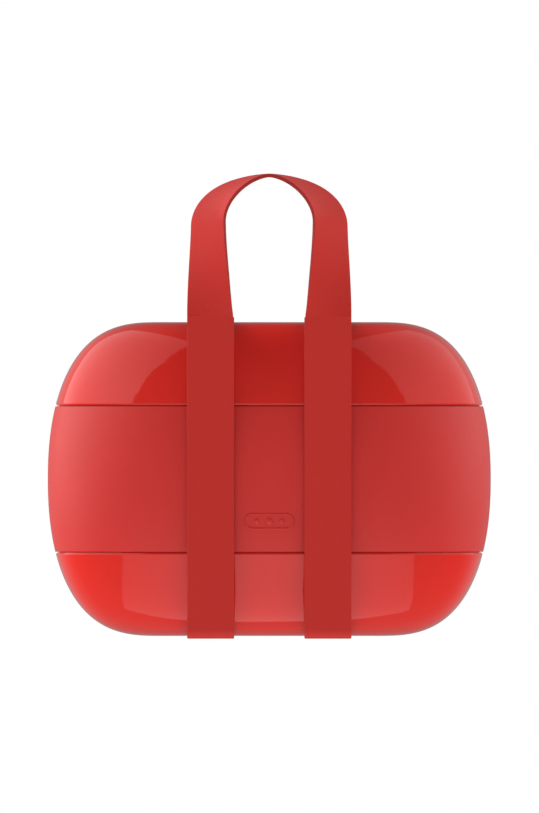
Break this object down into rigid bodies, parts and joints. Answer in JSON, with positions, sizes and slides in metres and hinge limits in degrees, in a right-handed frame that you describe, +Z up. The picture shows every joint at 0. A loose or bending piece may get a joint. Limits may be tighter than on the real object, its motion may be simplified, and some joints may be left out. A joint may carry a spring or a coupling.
{
  "type": "stacking lunch box with strap handle",
  "caption": "Barrel-shaped stacking lunch box with sealed inner lids, held by a silicone strap harness with twin twisted carrying loops.",
  "frame": {"origin": "middle of the object at the underside of the straps that it stands on", "axes": "+Z up, +X along the length to the viewer's right, -Y towards the front with the relief mark"},
  "size_m": [0.19, 0.1408, 0.1995],
  "materials": {
    "gloss_shell": "polished red thermoplastic",
    "satin_shell": "satin red thermoplastic",
    "silicone_strap": "matt red silicone",
    "inner_lid": "fine-grained off-white polypropylene",
    "seal": "pale silicone"
  },
  "bodies": {
    "bottom_bowl": {"bottom_bowl": "gloss_shell", "belt_bottom_left": "silicone_strap", "belt_bottom_right": "silicone_strap", "front_strap_left": "silicone_strap", "front_strap_right": "silicone_strap", "back_strap_left": "silicone_strap", "back_strap_right": "silicone_strap"},
    "lower_lid": {"lower_lid": "inner_lid", "lower_gasket": "seal"},
    "middle_container": {"middle_container": "satin_shell"},
    "divider": {"divider": "inner_lid"},
    "middle_lid": {"middle_lid": "inner_lid", "middle_gasket": "seal"},
    "top_lid": {"top_lid": "inner_lid", "top_gasket": "seal"},
    "top_bowl": {"top_bowl": "gloss_shell", "belt_top_left": "silicone_strap", "belt_top_right": "silicone_strap"},
    "front_handle": {"front_handle": "silicone_strap"},
    "back_handle": {"back_handle": "silicone_strap"}
  },
  "joints": [
    {"name": "lower_lid_lift", "type": "slide", "parent": "bottom_bowl", "child": "lower_lid", "axis": [0, 0, 1], "range_m": [0, 0.015], "deforming": ["front_strap_left", "front_strap_right", "back_strap_left", "back_strap_right"]},
    {"name": "middle_container_lift", "type": "slide", "parent": "lower_lid", "child": "middle_container", "axis": [0, 0, 1], "range_m": [0, 0.015]},
    {"name": "divider_lift", "type": "slide", "parent": "middle_container", "child": "divider", "axis": [0, 0, 1], "range_m": [0, 0.02]},
    {"name": "middle_lid_lift", "type": "slide", "parent": "divider", "child": "middle_lid", "axis": [0, 0, 1], "range_m": [0, 0.015]},
    {"name": "top_lid_lift", "type": "slide", "parent": "middle_lid", "child": "top_lid", "axis": [0, 0, 1], "range_m": [0, 0.015]},
    {"name": "top_bowl_lift", "type": "slide", "parent": "top_lid", "child": "top_bowl", "axis": [0, 0, 1], "range_m": [0, 0.015]},
    {"name": "front_handle_swing", "type": "hinge", "parent": "top_bowl", "child": "front_handle", "pos_m": [0, -0.0611, 0.1384], "axis": [-1, 0, 0], "range_deg": [-90, 62], "stiffness_Nm_per_rad": 0.01},
    {"name": "back_handle_swing", "type": "hinge", "parent": "top_bowl", "child": "back_handle", "pos_m": [0, 0.0611, 0.1384], "axis": [1, 0, 0], "range_deg": [-90, 62], "stiffness_Nm_per_rad": 0.01}
  ]
}
